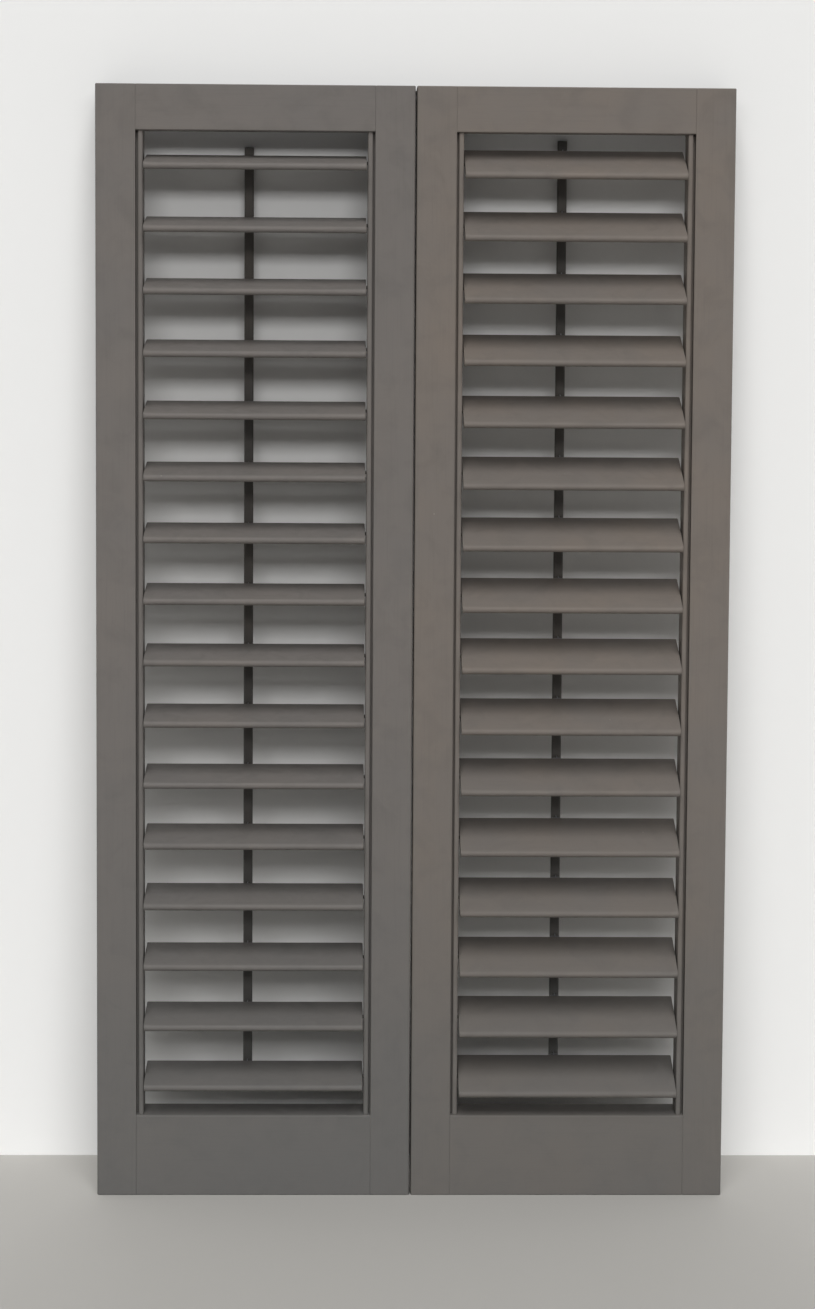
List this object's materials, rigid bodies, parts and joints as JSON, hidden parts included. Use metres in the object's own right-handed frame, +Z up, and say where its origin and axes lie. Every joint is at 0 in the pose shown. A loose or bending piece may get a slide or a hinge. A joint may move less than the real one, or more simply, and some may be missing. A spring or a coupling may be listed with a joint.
{
  "type": "louvred shutters",
  "caption": "Louvred timber window shutters: oval louvres turn on pins in mortised frames, and a tilt rod behind each panel links them.",
  "frame": {"origin": "middle of the pair's footprint, on the ground that the panels stand on", "axes": "+Z up along the stiles, -Y towards the front that the louvres shed water to, +X to the right as seen from the front"},
  "size_m": [0.826, 0.1078, 1.453],
  "materials": {
    "painted_frame": "satin dark grey-brown paint on cedar",
    "painted_louvre": "satin dark grey-brown paint on cedar",
    "painted_rod": "satin dark grey-brown paint on cedar",
    "nylon_pin": "moulded dark grey nylon",
    "staple_wire": "drawn wire"
  },
  "bodies": {
    "frames": {"left_outer_stile": "painted_frame", "left_meeting_stile": "painted_frame", "left_top_rail": "painted_frame", "left_bottom_rail": "painted_frame", "left_outer_pivot_strip": "painted_frame", "left_meeting_pivot_strip": "painted_frame", "left_pivot_pins": "nylon_pin", "right_outer_stile": "painted_frame", "right_meeting_stile": "painted_frame", "right_top_rail": "painted_frame", "right_bottom_rail": "painted_frame", "right_outer_pivot_strip": "painted_frame", "right_meeting_pivot_strip": "painted_frame", "right_pivot_pins": "nylon_pin"},
    "left_louvre_01": {"left_louvre_01": "painted_louvre"},
    "left_louvre_02": {"left_louvre_02": "painted_louvre"},
    "left_louvre_03": {"left_louvre_03": "painted_louvre"},
    "left_louvre_04": {"left_louvre_04": "painted_louvre"},
    "left_louvre_05": {"left_louvre_05": "painted_louvre"},
    "left_louvre_06": {"left_louvre_06": "painted_louvre"},
    "left_louvre_07": {"left_louvre_07": "painted_louvre"},
    "left_louvre_08": {"left_louvre_08": "painted_louvre"},
    "left_louvre_09": {"left_louvre_09": "painted_louvre"},
    "left_louvre_10": {"left_louvre_10": "painted_louvre"},
    "left_louvre_11": {"left_louvre_11": "painted_louvre"},
    "left_louvre_12": {"left_louvre_12": "painted_louvre"},
    "left_louvre_13": {"left_louvre_13": "painted_louvre"},
    "left_louvre_14": {"left_louvre_14": "painted_louvre"},
    "left_louvre_15": {"left_louvre_15": "painted_louvre"},
    "left_louvre_16": {"left_louvre_16": "painted_louvre"},
    "left_tilt_rod": {"left_tilt_rod": "painted_rod", "left_rod_staples": "staple_wire"},
    "right_louvre_01": {"right_louvre_01": "painted_louvre"},
    "right_louvre_02": {"right_louvre_02": "painted_louvre"},
    "right_louvre_03": {"right_louvre_03": "painted_louvre"},
    "right_louvre_04": {"right_louvre_04": "painted_louvre"},
    "right_louvre_05": {"right_louvre_05": "painted_louvre"},
    "right_louvre_06": {"right_louvre_06": "painted_louvre"},
    "right_louvre_07": {"right_louvre_07": "painted_louvre"},
    "right_louvre_08": {"right_louvre_08": "painted_louvre"},
    "right_louvre_09": {"right_louvre_09": "painted_louvre"},
    "right_louvre_10": {"right_louvre_10": "painted_louvre"},
    "right_louvre_11": {"right_louvre_11": "painted_louvre"},
    "right_louvre_12": {"right_louvre_12": "painted_louvre"},
    "right_louvre_13": {"right_louvre_13": "painted_louvre"},
    "right_louvre_14": {"right_louvre_14": "painted_louvre"},
    "right_louvre_15": {"right_louvre_15": "painted_louvre"},
    "right_louvre_16": {"right_louvre_16": "painted_louvre"},
    "right_tilt_rod": {"right_tilt_rod": "painted_rod", "right_rod_staples": "staple_wire"}
  },
  "joints": [
    {"name": "left_louvre_01_tilt", "type": "hinge", "parent": "frames", "child": "left_louvre_01", "pos_m": [-0.207, -0.01038, 1.3552], "axis": [1, 0, 0], "range_deg": [-65.9, 71.1]},
    {"name": "left_louvre_02_tilt", "type": "hinge", "parent": "frames", "child": "left_louvre_02", "pos_m": [-0.207, -0.01038, 1.2752], "axis": [1, 0, 0], "range_deg": [-65.9, 71.1]},
    {"name": "left_louvre_03_tilt", "type": "hinge", "parent": "frames", "child": "left_louvre_03", "pos_m": [-0.207, -0.01038, 1.1952], "axis": [1, 0, 0], "range_deg": [-65.9, 71.1]},
    {"name": "left_louvre_04_tilt", "type": "hinge", "parent": "frames", "child": "left_louvre_04", "pos_m": [-0.207, -0.01038, 1.1152], "axis": [1, 0, 0], "range_deg": [-65.9, 71.1]},
    {"name": "left_louvre_05_tilt", "type": "hinge", "parent": "frames", "child": "left_louvre_05", "pos_m": [-0.207, -0.01038, 1.0352], "axis": [1, 0, 0], "range_deg": [-65.9, 71.1]},
    {"name": "left_louvre_06_tilt", "type": "hinge", "parent": "frames", "child": "left_louvre_06", "pos_m": [-0.207, -0.01038, 0.9552], "axis": [1, 0, 0], "range_deg": [-65.9, 71.1]},
    {"name": "left_louvre_07_tilt", "type": "hinge", "parent": "frames", "child": "left_louvre_07", "pos_m": [-0.207, -0.01038, 0.8752], "axis": [1, 0, 0], "range_deg": [-65.9, 71.1]},
    {"name": "left_louvre_08_tilt", "type": "hinge", "parent": "frames", "child": "left_louvre_08", "pos_m": [-0.207, -0.01038, 0.7952], "axis": [1, 0, 0], "range_deg": [-65.9, 71.1]},
    {"name": "left_louvre_09_tilt", "type": "hinge", "parent": "frames", "child": "left_louvre_09", "pos_m": [-0.207, -0.01038, 0.7152], "axis": [1, 0, 0], "range_deg": [-65.9, 71.1]},
    {"name": "left_louvre_10_tilt", "type": "hinge", "parent": "frames", "child": "left_louvre_10", "pos_m": [-0.207, -0.01038, 0.6352], "axis": [1, 0, 0], "range_deg": [-65.9, 71.1]},
    {"name": "left_louvre_11_tilt", "type": "hinge", "parent": "frames", "child": "left_louvre_11", "pos_m": [-0.207, -0.01038, 0.5552], "axis": [1, 0, 0], "range_deg": [-65.9, 71.1]},
    {"name": "left_louvre_12_tilt", "type": "hinge", "parent": "frames", "child": "left_louvre_12", "pos_m": [-0.207, -0.01038, 0.4752], "axis": [1, 0, 0], "range_deg": [-65.9, 71.1]},
    {"name": "left_louvre_13_tilt", "type": "hinge", "parent": "frames", "child": "left_louvre_13", "pos_m": [-0.207, -0.01038, 0.3952], "axis": [1, 0, 0], "range_deg": [-65.9, 71.1]},
    {"name": "left_louvre_14_tilt", "type": "hinge", "parent": "frames", "child": "left_louvre_14", "pos_m": [-0.207, -0.01038, 0.3152], "axis": [1, 0, 0], "range_deg": [-65.9, 71.1]},
    {"name": "left_louvre_15_tilt", "type": "hinge", "parent": "frames", "child": "left_louvre_15", "pos_m": [-0.207, -0.01038, 0.2352], "axis": [1, 0, 0], "range_deg": [-65.9, 71.1]},
    {"name": "left_louvre_16_tilt", "type": "hinge", "parent": "frames", "child": "left_louvre_16", "pos_m": [-0.207, -0.01038, 0.1552], "axis": [1, 0, 0], "range_deg": [-65.9, 71.1]},
    {"name": "left_rod_swing", "type": "hinge", "parent": "left_louvre_08", "child": "left_tilt_rod", "pos_m": [-0.217, 0.03774, 0.80447], "axis": [1, 0, 0], "range_deg": [-71.1, 65.9]},
    {"name": "right_louvre_01_tilt", "type": "hinge", "parent": "frames", "child": "right_louvre_01", "pos_m": [0.207, -0.01038, 1.3552], "axis": [1, 0, 0], "range_deg": [-79.4, 57.6]},
    {"name": "right_louvre_02_tilt", "type": "hinge", "parent": "frames", "child": "right_louvre_02", "pos_m": [0.207, -0.01038, 1.2752], "axis": [1, 0, 0], "range_deg": [-79.4, 57.6]},
    {"name": "right_louvre_03_tilt", "type": "hinge", "parent": "frames", "child": "right_louvre_03", "pos_m": [0.207, -0.01038, 1.1952], "axis": [1, 0, 0], "range_deg": [-79.4, 57.6]},
    {"name": "right_louvre_04_tilt", "type": "hinge", "parent": "frames", "child": "right_louvre_04", "pos_m": [0.207, -0.01038, 1.1152], "axis": [1, 0, 0], "range_deg": [-79.4, 57.6]},
    {"name": "right_louvre_05_tilt", "type": "hinge", "parent": "frames", "child": "right_louvre_05", "pos_m": [0.207, -0.01038, 1.0352], "axis": [1, 0, 0], "range_deg": [-79.4, 57.6]},
    {"name": "right_louvre_06_tilt", "type": "hinge", "parent": "frames", "child": "right_louvre_06", "pos_m": [0.207, -0.01038, 0.9552], "axis": [1, 0, 0], "range_deg": [-79.4, 57.6]},
    {"name": "right_louvre_07_tilt", "type": "hinge", "parent": "frames", "child": "right_louvre_07", "pos_m": [0.207, -0.01038, 0.8752], "axis": [1, 0, 0], "range_deg": [-79.4, 57.6]},
    {"name": "right_louvre_08_tilt", "type": "hinge", "parent": "frames", "child": "right_louvre_08", "pos_m": [0.207, -0.01038, 0.7952], "axis": [1, 0, 0], "range_deg": [-79.4, 57.6]},
    {"name": "right_louvre_09_tilt", "type": "hinge", "parent": "frames", "child": "right_louvre_09", "pos_m": [0.207, -0.01038, 0.7152], "axis": [1, 0, 0], "range_deg": [-79.4, 57.6]},
    {"name": "right_louvre_10_tilt", "type": "hinge", "parent": "frames", "child": "right_louvre_10", "pos_m": [0.207, -0.01038, 0.6352], "axis": [1, 0, 0], "range_deg": [-79.4, 57.6]},
    {"name": "right_louvre_11_tilt", "type": "hinge", "parent": "frames", "child": "right_louvre_11", "pos_m": [0.207, -0.01038, 0.5552], "axis": [1, 0, 0], "range_deg": [-79.4, 57.6]},
    {"name": "right_louvre_12_tilt", "type": "hinge", "parent": "frames", "child": "right_louvre_12", "pos_m": [0.207, -0.01038, 0.4752], "axis": [1, 0, 0], "range_deg": [-79.4, 57.6]},
    {"name": "right_louvre_13_tilt", "type": "hinge", "parent": "frames", "child": "right_louvre_13", "pos_m": [0.207, -0.01038, 0.3952], "axis": [1, 0, 0], "range_deg": [-79.4, 57.6]},
    {"name": "right_louvre_14_tilt", "type": "hinge", "parent": "frames", "child": "right_louvre_14", "pos_m": [0.207, -0.01038, 0.3152], "axis": [1, 0, 0], "range_deg": [-79.4, 57.6]},
    {"name": "right_louvre_15_tilt", "type": "hinge", "parent": "frames", "child": "right_louvre_15", "pos_m": [0.207, -0.01038, 0.2352], "axis": [1, 0, 0], "range_deg": [-79.4, 57.6]},
    {"name": "right_louvre_16_tilt", "type": "hinge", "parent": "frames", "child": "right_louvre_16", "pos_m": [0.207, -0.01038, 0.1552], "axis": [1, 0, 0], "range_deg": [-79.4, 57.6]},
    {"name": "right_rod_swing", "type": "hinge", "parent": "right_louvre_08", "child": "right_tilt_rod", "pos_m": [0.194, 0.03425, 0.81544], "axis": [1, 0, 0], "range_deg": [-57.6, 79.4]}
  ],
  "couplings": [
    {"joint": "left_louvre_01_tilt", "follows": "left_louvre_08_tilt", "ratio": 1},
    {"joint": "left_louvre_02_tilt", "follows": "left_louvre_08_tilt", "ratio": 1},
    {"joint": "left_louvre_03_tilt", "follows": "left_louvre_08_tilt", "ratio": 1},
    {"joint": "left_louvre_04_tilt", "follows": "left_louvre_08_tilt", "ratio": 1},
    {"joint": "left_louvre_05_tilt", "follows": "left_louvre_08_tilt", "ratio": 1},
    {"joint": "left_louvre_06_tilt", "follows": "left_louvre_08_tilt", "ratio": 1},
    {"joint": "left_louvre_07_tilt", "follows": "left_louvre_08_tilt", "ratio": 1},
    {"joint": "left_louvre_09_tilt", "follows": "left_louvre_08_tilt", "ratio": 1},
    {"joint": "left_louvre_10_tilt", "follows": "left_louvre_08_tilt", "ratio": 1},
    {"joint": "left_louvre_11_tilt", "follows": "left_louvre_08_tilt", "ratio": 1},
    {"joint": "left_louvre_12_tilt", "follows": "left_louvre_08_tilt", "ratio": 1},
    {"joint": "left_louvre_13_tilt", "follows": "left_louvre_08_tilt", "ratio": 1},
    {"joint": "left_louvre_14_tilt", "follows": "left_louvre_08_tilt", "ratio": 1},
    {"joint": "left_louvre_15_tilt", "follows": "left_louvre_08_tilt", "ratio": 1},
    {"joint": "left_louvre_16_tilt", "follows": "left_louvre_08_tilt", "ratio": 1},
    {"joint": "left_rod_swing", "follows": "left_louvre_08_tilt", "ratio": -1},
    {"joint": "right_louvre_01_tilt", "follows": "right_louvre_08_tilt", "ratio": 1},
    {"joint": "right_louvre_02_tilt", "follows": "right_louvre_08_tilt", "ratio": 1},
    {"joint": "right_louvre_03_tilt", "follows": "right_louvre_08_tilt", "ratio": 1},
    {"joint": "right_louvre_04_tilt", "follows": "right_louvre_08_tilt", "ratio": 1},
    {"joint": "right_louvre_05_tilt", "follows": "right_louvre_08_tilt", "ratio": 1},
    {"joint": "right_louvre_06_tilt", "follows": "right_louvre_08_tilt", "ratio": 1},
    {"joint": "right_louvre_07_tilt", "follows": "right_louvre_08_tilt", "ratio": 1},
    {"joint": "right_louvre_09_tilt", "follows": "right_louvre_08_tilt", "ratio": 1},
    {"joint": "right_louvre_10_tilt", "follows": "right_louvre_08_tilt", "ratio": 1},
    {"joint": "right_louvre_11_tilt", "follows": "right_louvre_08_tilt", "ratio": 1},
    {"joint": "right_louvre_12_tilt", "follows": "right_louvre_08_tilt", "ratio": 1},
    {"joint": "right_louvre_13_tilt", "follows": "right_louvre_08_tilt", "ratio": 1},
    {"joint": "right_louvre_14_tilt", "follows": "right_louvre_08_tilt", "ratio": 1},
    {"joint": "right_louvre_15_tilt", "follows": "right_louvre_08_tilt", "ratio": 1},
    {"joint": "right_louvre_16_tilt", "follows": "right_louvre_08_tilt", "ratio": 1},
    {"joint": "right_rod_swing", "follows": "right_louvre_08_tilt", "ratio": -1}
  ]
}
